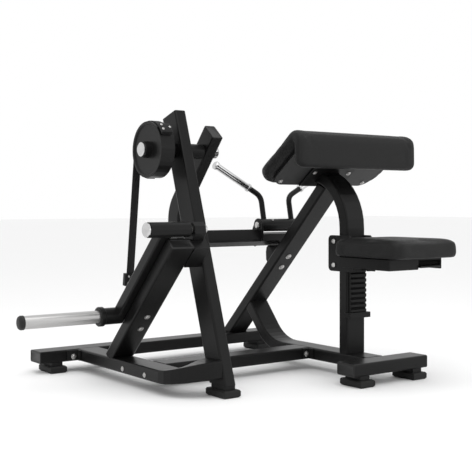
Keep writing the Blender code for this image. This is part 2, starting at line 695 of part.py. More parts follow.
def handle_fork():
    """The fork at the beam's end and the fixed pin that the handle tube turns on."""
    pivot = (SWIVEL.y, SWIVEL.z)
    corner = beam_section()
    cheek = [corner[0], corner[1], corner[2], *arc(pivot, 0.031, 5, 165, 6), (0.6950, 0.5700)]
    base = [(0.7040, 0.5430), (0.7520, 0.5195), (0.7760, 0.5650), (0.7450, 0.5805), (0.7140, 0.5725)]
    left, right, wall = HANDLE_X - 0.117, HANDLE_X + 0.117, 0.008
    fork = make("handle_fork", "curl", "arm_black", prism("X", cheek, left, left + wall))
    join_with(fork, "curl", prism("X", base, left + wall / 2, right - wall / 2),
              prism("X", cheek, right - wall, right))
    cut_with(fork, "curl", drum(-0.15, 0.15, pivot, 0.0123, segments=20))
    make("handle_axle", "curl", "zinc", headed_pin(left - GAP, right + GAP, pivot, 0.012, 0.0155, 0.010))


def handles():
    """The swivelling handle tube with its two bent stems, and the grips on them."""
    pivot = (SWIVEL.y, SWIVEL.z)
    reach_x = 0.1085
    tube = make("handle_yoke", "handles", "arm_black",
                drum(HANDLE_X - reach_x, HANDLE_X + reach_x, pivot, 0.0285, segments=28))
    rise = math.radians(28.3)
    for sign, side in ((-1, "left"), (1, "right")):
        x = HANDLE_X + sign * 0.080
        outward = Vector((sign * math.cos(rise), 0, math.sin(rise)))
        corner = Vector((x, 0.753, 0.743))
        start = Vector((x, SWIVEL.y, SWIVEL.z))
        rising = (corner - start).normalized()
        reach = 0.030
        first, last = corner - rising * reach, corner + outward * reach
        bend = []
        for k in range(6):
            t = k / 5
            bend.append(first * (1 - t) ** 2 + corner * 2 * t * (1 - t) + last * t ** 2)
        grip_start = corner + outward * 0.074
        join_with(tube, "handles", rod([start, *bend, grip_start - outward * GAP], 0.0125, 14))
        length = 0.217
        grip = [(0, 0.0150), (0.004, 0.0190), (0.012, 0.0190), (0.013, 0.0150), (length - 0.015, 0.0150),
                (length - 0.014, 0.0190), (length - 0.004, 0.0190), (length, 0.0150)]
        make("handle_grip_" + side, "handles", "chrome", turned(grip_start, outward, grip, 20))
    cut_with(tube, "handles", drum(-0.15, 0.15, pivot, 0.0123, segments=20))


# ---------------------------------------------------------------- belt drive
def belt_wheel():
    """The wheel on the curl axle, the belt wrapped on it and the clamp that holds it."""
    low = -0.817
    centre = (ELBOW.y, ELBOW.z)
    bore = 0.0153
    profile = [(0.062, bore), (0.062, 0.030), (0.030, 0.034), (0.026, 0.0955), (0.060, 0.0985), (0.060, WHEEL_R),
               (0, WHEEL_R), (0, 0.100), (0.005, 0.096), (0.006, 0.033), (-0.0203, 0.031), (-0.0203, bore)]
    make("belt_wheel", "curl", "arm_black", turned((low, *centre), (1, 0, 0), profile, 40, ring=True))
    inner, outer = WHEEL_R + GAP, WHEEL_R + GAP + BELT_T
    wrap = arc(centre, outer, -83, 152, 30) + arc(centre, inner, 152, -83, 30)
    make("belt_wrap", "curl", "rubber", prism("X", wrap, *BELT_X))
    clamp_r = outer + GAP
    block = arc(centre, clamp_r + 0.014, 130, 150, 4) + arc(centre, clamp_r, 152, 128, 4)
    make("belt_wheel_clamp", "curl", "arm_black", prism("X", block, BELT_X[0] - 0.006, BELT_X[1] + 0.006, 0.002))


def load_arm():
    """The load arm with its hub, bush, weight horn and belt lug."""
    pivot = (LOAD.y, LOAD.z)
    horn = (HORN.y, HORN.z)
    make("load_arm_hub", "load", "arm_black", sleeve(-0.950, -0.777, pivot, 0.0193, 0.0285, 28))
    make("load_arm_bush", "load", "bronze", sleeve(-0.949, -0.778, pivot, 0.0163, 0.0190))
    make("load_hub_cap", "load", "chrome",
         turned((-0.9525, *pivot), (-1, 0, 0), [(0, 0.0275), (0.005, 0.0275), (0.009, 0.022), (0.0105, 0)], 28))
    run = Vector((HORN.y - LOAD.y, HORN.z - LOAD.z))
    start, heading = Vector(pivot), run.normalized()
    out = Vector((-heading.y, heading.x))
    bar = make("load_arm", "load", "arm_black",
               strip_tube([start, start + run], 0.045, *LOAD_ARM_X, 0.006))
    join_with(bar, "load", drum(-0.9500, -0.8710, horn, 0.0325, 0.002, 28))
    cut_with(bar, "load", drum(-0.96, -0.84, pivot, 0.0288, segments=28))
    bore, rim, width = 0.0253, 0.0380, 0.0214
    collar = [(0, bore), (0, rim - 0.003), (0.003, rim), (width - 0.003, rim), (width, rim - 0.003), (width, bore)]
    make("horn_collar", "load", "arm_black", turned((HORN.x + GAP, *horn), (1, 0, 0), collar, 32, ring=True))
    make("weight_horn", "load", "satin_steel", drum(HORN_TIP_X + 0.0212, -0.9503, horn, 0.0250, 0, 32))
    make("horn_cap", "load", "plastic",
         turned((HORN_TIP_X + 0.0209, *horn), (-1, 0, 0),
                [(0, 0.0270), (0.010, 0.0270), (0.016, 0.0235), (0.0197, 0.0150), (0.0209, 0)], 32))
    lug = [(0.425, -0.018), (0.500, -0.018), (0.540, 0.058), (0.5465, 0.082), (0.532, 0.102), (0.507, 0.102),
           (0.425, 0.020)]
    root = [(0.430, -0.016), (0.494, -0.016), (0.494, 0.016), (0.430, 0.016)]
    lug_x = (BELT_X[0] - 0.0125, BELT_X[0] - 0.0005)
    outline = [tuple(start + heading * s + out * h) for s, h in lug]
    spacer = [tuple(start + heading * s + out * h) for s, h in root]
    plate = make("belt_lug", "load", "arm_black", prism("X", outline, *lug_x))
    join_with(plate, "load", prism("X", spacer, LOAD_ARM_X[1] + GAP, lug_x[0] + 0.004))
    anchor = (ANCHOR.y, ANCHOR.z)
    cut_with(plate, "load", drum(lug_x[0] - 0.01, lug_x[1] + 0.01, anchor, 0.0083, segments=20))
    make("belt_pin", "load", "zinc", headed_pin(lug_x[0] - GAP, BELT_X[1] + 0.004, anchor, 0.008, 0.013, 0.006))


def belt():
    """The free span of belt, its end clamp and the link that joins it to the load arm."""
    centre_r = WHEEL_R + 2 * GAP + BELT_T + 0.0018
    tilt, length, touch = tangent_up(ANCHOR, ELBOW, centre_r)
    up = Vector((-math.sin(tilt), math.cos(tilt)))
    out = Vector((math.cos(tilt), math.sin(tilt)))
    foot = Vector((ANCHOR.y, ANCHOR.z))

    def along(low, high, inner, outer, x, radius=0.0):
        corners = [foot + up * low + out * inner, foot + up * low + out * outer,
                   foot + up * high + out * outer, foot + up * high + out * inner]
        return prism("X", [tuple(c) for c in corners], x[0], x[1], radius)

    make("belt_span", "belt", "rubber", along(SPAN_START, length, -0.0018, 0.0018, BELT_X))
    link_x = (BELT_X[0] + 0.001, BELT_X[1] - 0.001)
    eye_low, eye_high = math.degrees(tilt) + 97, math.degrees(tilt) + 443
    eye = arc(tuple(foot), 0.0165, eye_low, eye_high, 18)
    neck_top = foot + up * (SPAN_START - 0.001)
    neck = [tuple(neck_top + out * 0.002), tuple(neck_top - out * 0.002)]
    link = make("belt_link", "belt", "arm_black", prism("X", eye + neck, *link_x))
    cut_with(link, "belt", drum(link_x[0] - 0.01, link_x[1] + 0.01, tuple(foot), 0.0083, segments=16))
    jaws = along(SPAN_START - 0.025, SPAN_START + 0.025, -0.0093, 0.0093,
                 (BELT_X[0] - 0.010, BELT_X[1] + 0.004), 0.001)
    clamp = make("belt_clamp", "belt", "arm_black", jaws)
    cut_with(clamp, "belt", along(SPAN_START - 0.035, SPAN_START + 0.035, -0.0023, 0.0023,
                                  (BELT_X[0] - 0.0006, BELT_X[1] + 0.02)))


floor_frame()
centre_rail()
pad_post()
seat_post()
side_rail()
tower_post()
support_leg()
load_pivot()
feet()
rest_bumper()
height_rack()
arm_pad()
seat()
curl_bearings()
curl_arm()
handle_fork()
handles()
belt_wheel()
load_arm()
belt()
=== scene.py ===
"""Looks of a plate-loaded seated arm-curl machine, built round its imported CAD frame.

Everything is in metres in the frame's own axes: +Z up, +Y the way the user faces.
Places are written from the seat's middle plane (x), the user's side of the front
cross tube (y) and the floor (z), and at() turns them into the frame's coordinates.
"""

import json
import math

import bmesh
import bpy
from mathutils import Matrix, Vector

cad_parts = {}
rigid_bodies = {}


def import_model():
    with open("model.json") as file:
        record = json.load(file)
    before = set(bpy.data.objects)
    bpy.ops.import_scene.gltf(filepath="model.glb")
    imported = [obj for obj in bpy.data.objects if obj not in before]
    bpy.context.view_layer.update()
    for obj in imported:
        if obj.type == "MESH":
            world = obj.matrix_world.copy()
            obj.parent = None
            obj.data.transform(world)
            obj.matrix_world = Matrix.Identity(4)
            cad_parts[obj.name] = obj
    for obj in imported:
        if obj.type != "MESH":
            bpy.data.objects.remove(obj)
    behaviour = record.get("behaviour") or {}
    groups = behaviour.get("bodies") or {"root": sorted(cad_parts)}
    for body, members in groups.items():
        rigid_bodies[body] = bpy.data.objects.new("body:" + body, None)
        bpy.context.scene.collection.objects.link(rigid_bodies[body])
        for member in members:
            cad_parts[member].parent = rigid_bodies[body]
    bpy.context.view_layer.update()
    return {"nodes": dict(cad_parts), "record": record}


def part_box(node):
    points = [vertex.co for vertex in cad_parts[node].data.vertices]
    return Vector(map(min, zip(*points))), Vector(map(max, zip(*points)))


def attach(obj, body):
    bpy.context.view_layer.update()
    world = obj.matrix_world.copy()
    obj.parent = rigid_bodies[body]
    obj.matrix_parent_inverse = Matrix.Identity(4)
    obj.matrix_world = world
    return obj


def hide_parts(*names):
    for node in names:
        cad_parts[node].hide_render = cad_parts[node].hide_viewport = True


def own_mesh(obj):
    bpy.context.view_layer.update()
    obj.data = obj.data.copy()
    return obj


for leftover in list(bpy.data.objects):
    bpy.data.objects.remove(leftover, do_unlink=True)

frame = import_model()
nodes = frame["nodes"]


def middle(node):
    """The centre of a CAD node's box."""
    low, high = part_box(node)
    return (low + high) / 2


CENTRE_X = middle("seat_post").x
FRONT_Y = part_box("front_cross_tube")[0].y


def at(x, y, z):
    """A point given from the seat's middle plane, the front tube's near side and the floor."""
    return Vector((CENTRE_X + x, FRONT_Y + y, z))


# ---------------------------------------------------------------- materials
class Finish:
    """A node material, with a short way to add and join its nodes."""

    def __init__(self, name):
        self.material = bpy.data.materials.new(name)
        self.material.use_nodes = True
        self.tree = self.material.node_tree
        self.tree.nodes.clear()
        self.shader = self.add("ShaderNodeBsdfPrincipled")
        output = self.tree.nodes.new("ShaderNodeOutputMaterial")
        self.tree.links.new(self.shader.outputs["BSDF"], output.inputs["Surface"])
        self.place = self.add("ShaderNodeTexCoord").outputs["Object"]

    def add(self, kind, options=None, **inputs):
        """A new node; inputs are sockets to join or plain values to set."""
        node = self.tree.nodes.new(kind)
        for key, value in (options or {}).items():
            setattr(node, key, value)
        for key, value in inputs.items():
            self.plug(node.inputs[key.replace("_", " ")], value)
        return node

    def plug(self, socket, value):
        """Join an output to an input, or set the input's value."""
        if isinstance(value, bpy.types.NodeSocket):
            self.tree.links.new(value, socket)
        else:
            socket.default_value = value

    def set(self, **inputs):
        """Join or set inputs of the main shader."""
        for key, value in inputs.items():
            self.plug(self.shader.inputs[key.replace("_", " ")], value)

    def stretch(self, x, y, z):
        """The object's coordinates, scaled by a factor on each axis."""
        return self.add("ShaderNodeMapping", Vector=self.place, Scale=(x, y, z)).outputs["Vector"]

    def noise(self, scale, detail=3.0, roughness=0.5, where=None):
        """A noise value from 0 to 1."""
        return self.add("ShaderNodeTexNoise", Vector=where or self.place, Scale=scale,
                        Detail=detail, Roughness=roughness).outputs["Fac"]

    def between(self, value, low, high, start=0.0, stop=1.0):
        """Map a value's range start..stop to low..high."""
        node = self.add("ShaderNodeMapRange", Value=value)
        self.plug(node.inputs["From Min"], start)
        self.plug(node.inputs["From Max"], stop)
        self.plug(node.inputs["To Min"], low)
        self.plug(node.inputs["To Max"], high)
        return node.outputs["Result"]

    def math(self, operation, first, second=0.0):
        """One arithmetic step."""
        node = self.add("ShaderNodeMath", {"operation": operation})
        self.plug(node.inputs[0], first)
        self.plug(node.inputs[1], second)
        return node.outputs["Value"]

    def blend(self, factor, first, second):
        """A colour between two colours."""
        node = self.add("ShaderNodeMix", {"data_type": "RGBA"})
        self.plug(node.inputs[0], factor)
        self.plug(node.inputs[6], first)
        self.plug(node.inputs[7], second)
        return node.outputs[2]

    def relief(self, height, strength, depth, normal=None):
        """A bumped normal."""
        node = self.add("ShaderNodeBump", Height=height, Strength=strength, Distance=depth)
        if normal is not None:
            self.plug(node.inputs["Normal"], normal)
        return node.outputs["Normal"]

    def soft_edges(self, radius):
        """A normal that rounds the edges off."""
        return self.add("ShaderNodeBevel", {"samples": 6}, Radius=radius).outputs["Normal"]

    def edge_strength(self, rounded):
        """How near an edge each point lies, from 0 to 1, given the rounded normal."""
        flat = self.add("ShaderNodeNewGeometry").outputs["Normal"]
        turned = self.add("ShaderNodeVectorMath", {"operation": "DOT_PRODUCT"})
        self.plug(turned.inputs[0], rounded)
        self.plug(turned.inputs[1], flat)
        return self.between(turned.outputs["Value"], 1.0, 0.0, 0.90, 0.995)


def grey(value, warmth=0.0):
    """A near-neutral colour."""
    return (value * (1 + warmth), value, value * (1 - warmth), 1.0)


def powder_coat(name, tone, gloss):
    """Black powder coat on steel: an even orange peel, soft cloudy gloss, and edges painted paler,
    partly for the thinner coat there and partly as a painted highlight.
    """
    finish = Finish(name)
    rounded = finish.soft_edges(0.0016)
    edge = finish.edge_strength(rounded)
    cloud = finish.noise(5.0, 4.0, 0.6)
    peel = finish.noise(650.0, 2.0, 0.5)
    speck = finish.noise(2400.0, 1.0, 0.5)
    base = finish.blend(cloud, grey(tone * 0.85), grey(tone * 1.15))
    # edges painted paler: partly thinner coat, partly a painted highlight along the edges
    thin_coat_and_edge_highlight = finish.blend(finish.math("MULTIPLY", edge, 0.35), base, grey(tone * 3.0))
    rough = finish.math("ADD", finish.between(cloud, gloss - 0.05, gloss + 0.06),
                        finish.between(speck, -0.03, 0.03))
    height = finish.math("ADD", peel, finish.math("MULTIPLY", speck, 0.3))
    finish.set(Base_Color=thin_coat_and_edge_highlight, Roughness=rough, Specular_IOR_Level=0.16)
    finish.set(Normal=finish.relief(height, 0.25, 0.0004, rounded))
    return finish.material


def turned_steel(name, tone, gloss, pitch, wear):
    """Bare steel with fine tool marks round its X axis and faint handling smears."""
    finish = Finish(name)
    rounded = finish.soft_edges(0.0010)
    lines = finish.noise(1.0, 4.0, 0.7, finish.stretch(pitch, 6.0, 6.0))
    smear = finish.noise(14.0, 5.0, 0.65)
    base = finish.blend(smear, grey(tone * (1 - wear), 0.012), grey(tone * (1 + wear), 0.006))
    rough = finish.math("ADD", finish.between(lines, gloss - 0.08, gloss + 0.10),
                        finish.between(smear, -0.05, 0.06))
    finish.set(Base_Color=base, Metallic=1.0, Roughness=rough)
    finish.set(Normal=finish.relief(lines, 0.10, 0.0002, rounded))
    return finish.material


def polished_chrome(name):
    """Chrome plate, almost a mirror, with slight smears."""
    finish = Finish(name)
    rounded = finish.soft_edges(0.0008)
    smear = finish.noise(30.0, 6.0, 0.7)
    finish.set(Base_Color=finish.blend(smear, grey(0.50), grey(0.66)), Metallic=1.0)
    finish.set(Roughness=finish.between(smear, 0.05, 0.17))
    finish.set(Normal=finish.relief(smear, 0.02, 0.0003, rounded))
    return finish.material


def zinc_plate(name):
    """Bright zinc on fasteners, faintly mottled."""
    finish = Finish(name)
    rounded = finish.soft_edges(0.0006)
    mottle = finish.noise(220.0, 3.0, 0.6)
    finish.set(Base_Color=finish.blend(mottle, grey(0.40, 0.01), grey(0.58, 0.02)), Metallic=1.0)
    finish.set(Roughness=finish.between(mottle, 0.20, 0.36))
    finish.set(Normal=finish.relief(mottle, 0.06, 0.0002, rounded))
    return finish.material


def vinyl(name, tone):
    """Black upholstery vinyl with a pebbled grain, its grooves painted darker as painted shade."""
    finish = Finish(name)
    warp = finish.add("ShaderNodeTexNoise", Vector=finish.place, Scale=160.0,
                      Detail=2.0).outputs["Color"]
    mixed = finish.add("ShaderNodeVectorMath", {"operation": "MULTIPLY_ADD"})
    finish.plug(mixed.inputs[0], warp)
    finish.plug(mixed.inputs[1], (0.0016, 0.0016, 0.0016))
    finish.plug(mixed.inputs[2], finish.place)
    pebble = finish.add("ShaderNodeTexVoronoi", {"feature": "DISTANCE_TO_EDGE"},
                        Vector=mixed.outputs["Vector"], Scale=620.0).outputs["Distance"]
    raised = finish.between(pebble, 0.0, 1.0, 0.0, 0.28)
    cloud = finish.noise(9.0, 4.0, 0.6)
    crease = finish.noise(70.0, 4.0, 0.6)
    # grooves between the pebbles painted darker: painted shade in the grain's hollows
    base = finish.blend(raised, grey(tone * 0.55), grey(tone))
    tinted = finish.blend(finish.math("MULTIPLY", cloud, 0.5), base, grey(tone * 1.35))
    rough = finish.math("ADD", finish.between(raised, 0.62, 0.44),
                        finish.between(cloud, -0.05, 0.05))
    fine = finish.relief(raised, 0.35, 0.0005)
    finish.set(Base_Color=tinted, Roughness=rough, Normal=finish.relief(crease, 0.10, 0.0012, fine))
    finish.set(Specular_IOR_Level=0.24)
    return finish.material


def rubber(name, tone, gloss):
    """Moulded rubber, dull and a little dusty."""
    finish = Finish(name)
    rounded = finish.soft_edges(0.0012)
    grain = finish.noise(900.0, 3.0, 0.6)
    dust = finish.noise(18.0, 5.0, 0.7)
    base = finish.blend(finish.between(dust, 0.0, 0.6, 0.45, 0.8), grey(tone),
                        grey(tone * 2.0, 0.03))
    finish.set(Base_Color=base, Roughness=finish.between(dust, gloss - 0.06, gloss + 0.12))
    finish.set(Normal=finish.relief(grain, 0.25, 0.0004, rounded), Specular_IOR_Level=0.30)
    return finish.material


def moulded_plastic(name, tone, gloss):
    """Moulded black plastic with a fine spark-eroded texture."""
    finish = Finish(name)
    rounded = finish.soft_edges(0.0010)
    grain = finish.noise(1500.0, 2.0, 0.5)
    cloud = finish.noise(8.0, 3.0, 0.5)
    base = finish.blend(cloud, grey(tone * 0.8), grey(tone * 1.2))
    finish.set(Base_Color=base, Roughness=finish.between(grain, gloss - 0.06, gloss + 0.10))
    finish.set(Normal=finish.relief(grain, 0.20, 0.0003, rounded), Specular_IOR_Level=0.32)
    return finish.material


def bronze(name):
    """Plain turned bearing bronze."""
    finish = Finish(name)
    lines = finish.noise(1.0, 3.0, 0.6, finish.stretch(1500.0, 8.0, 8.0))
    base = finish.blend(lines, (0.36, 0.25, 0.11, 1.0), (0.52, 0.38, 0.18, 1.0))
    finish.set(Base_Color=base, Metallic=1.0, Roughness=finish.between(lines, 0.28, 0.45))
    finish.set(Normal=finish.relief(lines, 0.08, 0.0002))
    return finish.material


def woven_belt(name):
    """Coated flat belt: crosswise ribs of the cord under the rubber."""
    finish = Finish(name)
    ribs = finish.add("ShaderNodeTexWave", {"wave_type": "BANDS", "bands_direction": "X"},
                      Vector=finish.place, Scale=95.0, Distortion=0.4).outputs["Fac"]
    grain = finish.noise(700.0, 3.0, 0.6)
    base = finish.blend(ribs, grey(0.005), grey(0.011))
    height = finish.math("ADD", ribs, finish.math("MULTIPLY", grain, 0.5))
    finish.set(Base_Color=base, Roughness=finish.between(grain, 0.50, 0.68))
    finish.set(Normal=finish.relief(height, 0.30, 0.0004), Specular_IOR_Level=0.30)
    return finish.material


FRAME_BLACK = powder_coat("frame_powder_coat", tone=0.0055, gloss=0.34)
ARM_BLACK = powder_coat("arm_powder_coat", tone=0.0065, gloss=0.31)
SATIN = turned_steel("satin_turned_steel", tone=0.48, gloss=0.30, pitch=900.0, wear=0.08)
CHROME = polished_chrome("polished_chrome")
ZINC = zinc_plate("bright_zinc")
VINYL = vinyl("upholstery_vinyl", tone=0.0065)
RUBBER = rubber("moulded_rubber", tone=0.007, gloss=0.62)
PLASTIC = moulded_plastic("moulded_plastic", tone=0.008, gloss=0.42)
BRONZE = bronze("bearing_bronze")
BELT = woven_belt("coated_belt")
SLOT_LOOKS = {
    "frame_black": FRAME_BLACK, "arm_black": ARM_BLACK, "satin_steel": SATIN, "chrome": CHROME,
    "zinc": ZINC, "vinyl": VINYL, "rubber": RUBBER, "plastic": PLASTIC, "bronze": BRONZE,
}


EASED_EDGE = 0.0012                     # bevel on the edges of the CAD nodes
SHARP, BEVELLED = math.radians(40), math.radians(44)    # edges shaded sharp, edges bevelled


def dress_cad_nodes():
    """Give every carried-over CAD node the finish of its slot and eased edges."""
    for entry in frame["record"]["subparts"]:
        node = nodes[entry["node"]]
        node.data.materials.clear()
        node.data.materials.append(SLOT_LOOKS[entry["material_slot"]])
        node.data.shade_smooth()
        node.data.set_sharp_from_angle(angle=SHARP)
        bevel = node.modifiers.new("eased_edges", "BEVEL")
        bevel.width = EASED_EDGE
        bevel.segments = 2
        bevel.limit_method = "ANGLE"
        bevel.angle_limit = BEVELLED
        weigh = node.modifiers.new("even_shading", "WEIGHTED_NORMAL")
        weigh.keep_sharp = True


# ---------------------------------------------------------------- mesh helpers
def settle(name, shape, material, body, smooth_angle=35.0):
    """Turn a bmesh into a piece that rides on a body."""
    bmesh.ops.recalc_face_normals(shape, faces=shape.faces[:])
    mesh = bpy.data.meshes.new(name)
    shape.to_mesh(mesh)
    shape.free()
    mesh.shade_smooth()
    mesh.set_sharp_from_angle(angle=math.radians(smooth_angle))
    mesh.materials.append(material)
    piece = bpy.data.objects.new(name, mesh)
    bpy.context.scene.collection.objects.link(piece)
    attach(piece, body)
    return piece


def facing(origin, axis, up=None):
    """A matrix whose Z points along axis and whose Y is as near up as it can be."""
    axis = Vector(axis).normalized()
    up = Vector(up) if up else axis.orthogonal()
    side = up.cross(axis).normalized()
    across = axis.cross(side)
    turn = Matrix((side, across, axis)).transposed().to_4x4()
    return Matrix.Translation(Vector(origin)) @ turn


def ring(shape, where, radius, distance, count):
    """New points on a circle round the local Z."""
    angles = [math.tau * k / count for k in range(count)]
    return [shape.verts.new(where @ Vector((radius * math.cos(a), radius * math.sin(a), distance)))
            for a in angles]


def join_rows(shape, rows):
    """Faces between neighbouring closed rows of equal point counts."""
    for low, high in zip(rows, rows[1:]):
        count = len(low)
        for k in range(count):
            j = (k + 1) % count
            shape.faces.new((low[k], low[j], high[j], high[k]))


def skin(shape, rows):
    """A closed solid through rows of points: its two ends and the faces between."""
    shape.faces.new(rows[0])
    shape.faces.new(rows[-1])
    join_rows(shape, rows)


def lathe(shape, where, profile, segments):
    """Add a turned solid to a bmesh; profile runs (distance, radius) along the local Z."""
    rows = []
    for distance, radius in profile:
        if radius == 0:
            rows.append([shape.verts.new(where @ Vector((0, 0, distance)))])
        else:
            rows.append(ring(shape, where, radius, distance, segments))
    for end in (rows[0], rows[-1]):
        if len(end) > 1:
            shape.faces.new(end)
    for low, high in zip(rows, rows[1:]):
        for k in range(segments):
            j = (k + 1) % segments
            corners = [low[k % len(low)], low[j % len(low)],
                       high[j % len(high)], high[k % len(high)]]
            unique = list(dict.fromkeys(corners))
            if len(unique) > 2:
                shape.faces.new(unique)


def loft(shape, where, rings):
    """Add a solid through rings of equal point counts; each ring is ((x, y) list, z)."""
    skin(shape, [[shape.verts.new(where @ Vector((x, y, z))) for x, y in outline]
                 for outline, z in rings])


def rounded_rectangle(half_x, half_y, radius, steps=5):
    """Points round a rectangle with circular corners."""
    points = []
    for sign_x, sign_y, start in ((1, -1, 270), (1, 1, 0), (-1, 1, 90), (-1, -1, 180)):
        for k in range(steps + 1):
            angle = math.radians(start + 90 * k / steps)
            points.append((sign_x * (half_x - radius) + radius * math.cos(angle),
                           sign_y * (half_y - radius) + radius * math.sin(angle)))
    return points


# ---------------------------------------------------------------- fasteners and trim
LIFT = 0.0002                           # how far trim stands off the face it sits on
WASHER_THICK, WASHER_EDGE = 0.0016, 0.0003
CAP_CORNER, CAP_DISH = 0.007, 0.0006    # a tube cap's corner radius and the depth of its dish


def bolt(shape, point, axis, radius, washer=True):
    """Add a button-head bolt with a hexagon socket, standing on a face."""
    sides, dome_steps, dome_end = 24, 5, math.radians(78)
    where = facing(point, axis)
    base = LIFT
    if washer:
        lathe(shape, where, [(base, radius * 1.45),
                             (base + WASHER_THICK - WASHER_EDGE, radius * 1.45),
                             (base + WASHER_THICK, radius * 1.38),
                             (base + WASHER_THICK, radius * 0.5)], 32)
        base += WASHER_THICK + 0.0001
    height = radius * 0.55
    dome = [(base, radius * 0.96), (base + height * 0.12, radius)]
    for k in range(1, dome_steps + 1):
        angle = dome_end * k / dome_steps
        dome.append((base + height * (0.12 + 0.88 * math.sin(angle) / math.sin(dome_end)),
                     radius * (0.50 + 0.50 * math.cos(angle))))
    top, rim = dome[-1]
    rows = [ring(shape, where, reach, distance, sides)
            for distance, reach in dome + [(top, rim * 0.92)]]
    for depth in (top, top - height * 0.6):
        socket = []
        for k in range(sides):
            angle = math.tau * k / sides
            within = (angle % math.radians(60)) - math.radians(30)
            reach = radius * 0.36 / math.cos(within)
            corner = Vector((reach * math.cos(angle), reach * math.sin(angle), depth))
            socket.append(shape.verts.new(where @ corner))
        rows.append(socket)
    skin(shape, rows)


def tube_cap(name, centre, normal, up, half_x, half_y, body, proud=0.003):
    """A moulded cap that closes a tube's end and stands a little proud of it."""
    shape = bmesh.new()
    rings = []
    for k in range(5):
        angle = math.radians(90 * k / 4)
        inset = 0.0004 + proud * (1 - math.cos(angle))
        outline = rounded_rectangle(half_x - inset, half_y - inset,
                                    max(CAP_CORNER - inset, 0.002))
        rings.append((outline, LIFT + proud * math.sin(angle)))
    for rim, z in ((proud + 0.006, LIFT + proud), (proud + 0.007, proud - CAP_DISH)):
        rings.append((rounded_rectangle(half_x - rim, half_y - rim, 0.003), z))
    loft(shape, facing(centre, normal, up), rings)
    settle(name, shape, PLASTIC, body)


dress_cad_nodes()


# ---------------------------------------------------------------- cushions
PAD_SIN, PAD_COS = 0.6, 0.8             # slope of the arm pad
PAD_TILT = math.atan2(PAD_SIN, PAD_COS)
PAD_TOP, PAD_SEAM = 0.950, 0.902        # its faces, measured square to the slope
PAD_FAR, PAD_NEAR = -0.113, -0.36       # its far and near edges, measured down the slope
PAD_FRONT, LIP_Y, LIP_Z = 0.178, 0.2155, 0.851      # its front face and the lip under it
PAD_CREST = 0.051                       # radius of the rounded crest over the front
LIP_TOP = 0.93                          # the lip's corners are eased up to this height
PAD_HALF = (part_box("arm_pad")[1].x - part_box("arm_pad")[0].x) / 2
BOARD_HALF = (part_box("arm_pad_board")[1].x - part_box("arm_pad_board")[0].x) / 2


def on_pad(along, height):
    """A (y, z) point from its distance down the arm pad's slope and its height across it."""
    return (along * math.cos(PAD_TILT) + height * math.sin(PAD_TILT),
            -along * math.sin(PAD_TILT) + height * math.cos(PAD_TILT))


def off_pad(y, z):
    """A (y, z) point's distance down the arm pad's slope and its height across it."""
    return (y * math.cos(PAD_TILT) - z * math.sin(PAD_TILT),
            y * math.sin(PAD_TILT) + z * math.cos(PAD_TILT))


def arc(centre, radius, start, stop, steps):
    """Points on a circle between two angles in degrees."""
    points = []
    for k in range(steps + 1):
        angle = math.radians(start + (stop - start) * k / steps)
        points.append((centre[0] + radius * math.cos(angle),
                       centre[1] + radius * math.sin(angle)))
    return points


def resampled(points, spacing):
    """Points at even spacing round a closed outline."""
    loop = [Vector(p) for p in points]
    lengths = [(b - a).length for a, b in zip(loop, loop[1:] + loop[:1])]
    total = sum(lengths)
    count = round(total / spacing)
    result, index, gone = [], 0, 0.0
    for k in range(count):
        target = total * k / count
        while gone + lengths[index] < target:
            gone += lengths[index]
            index += 1
        share = (target - gone) / lengths[index]
        result.append(loop[index].lerp(loop[(index + 1) % len(loop)], share))
    return result


def pad_outline(inset):
    """The arm pad's section: front lip, rounded crest, slope and far edge, all set in a little."""
    lip_y, lip_z, crest = LIP_Y - inset, LIP_Z + inset, PAD_CREST - inset
    front, far = PAD_FRONT + inset, PAD_FAR - inset
    top, seam = PAD_TOP - inset, PAD_SEAM + inset
    centre = (front + crest, (top - crest - PAD_SIN * (front + crest)) / PAD_COS)
    tilt = math.degrees(PAD_TILT)
    nose = max((top - seam) / 2 - 0.002, 0.003)
    corner = min(0.014, max((lip_y - front) / 2 - 0.001, 0.002))
    outline = arc(centre, crest, 180, 90 - tilt, 10)
    outline += arc(on_pad(far - nose, top - nose), nose, 90 - tilt, -tilt, 6)
    outline += arc(on_pad(far - nose, seam + nose), nose, -tilt, -90 - tilt, 6)
    outline += [(lip_y, (seam - PAD_SIN * lip_y) / PAD_COS)]
    outline += arc((lip_y - corner, lip_z + corner), corner, 0, -90, 5)
    outline += arc((front + corner, lip_z + corner), corner, 270, 180, 5)
    return outline


def arm_pad_shape():
    """The arm pad before it is inflated: a section drawn along X with bullnosed ends."""
    shape = bmesh.new()
    end_run, end_inset = 0.014, 0.006       # the bullnose at each end
    plan_r, corner_r = 0.090, 0.042         # corners seen from above, and from the front
    swell = 0.0015                          # drawn larger all round, as remeshing shrinks it
    half = PAD_HALF + 0.006
    steps = 16
    stations = [0.0, 0.05, 0.10, 0.15, 0.20, 0.22]
    stations += [half - corner_r * 2 * (1 - math.sin(math.radians(90 * k / steps)))
                 for k in range(1, steps + 1)]
    rows = []
    for x in [-x for x in reversed(stations[1:])] + stations:
        edge = max(0.0, abs(x) - (half - end_run)) / end_run
        inset = end_inset * (1 - math.sqrt(max(0.0, 1 - edge ** 2)))
        beyond = max(0.0, abs(x) - (half - plan_r))
        pulled = plan_r - math.sqrt(max(0.0, plan_r ** 2 - beyond ** 2))
        sunk = max(0.0, abs(x) - (half - corner_r))
        sunk = 0.55 * (corner_r - math.sqrt(max(0.0, corner_r ** 2 - sunk ** 2)))
        row = []
        for y, z in pad_outline(inset - swell):
            along, height = off_pad(y, z)
            share = min(1.0, max(0.0, (along - PAD_NEAR) / (PAD_FAR - PAD_NEAR)))
            y, z = on_pad(along - pulled * share ** 2, height)
            if height > PAD_SEAM:
                lower = sunk * (height - PAD_SEAM) / (PAD_TOP - PAD_SEAM)
                y, z = y - lower * math.sin(PAD_TILT) * 0.3, z - lower
            else:
                z += sunk * min(1.0, max(0.0, (LIP_TOP - z) / (LIP_TOP - LIP_Z)))
            row.append(shape.verts.new(at(x, y, z)))
        rows.append(row)
    skin(shape, rows)
    return shape


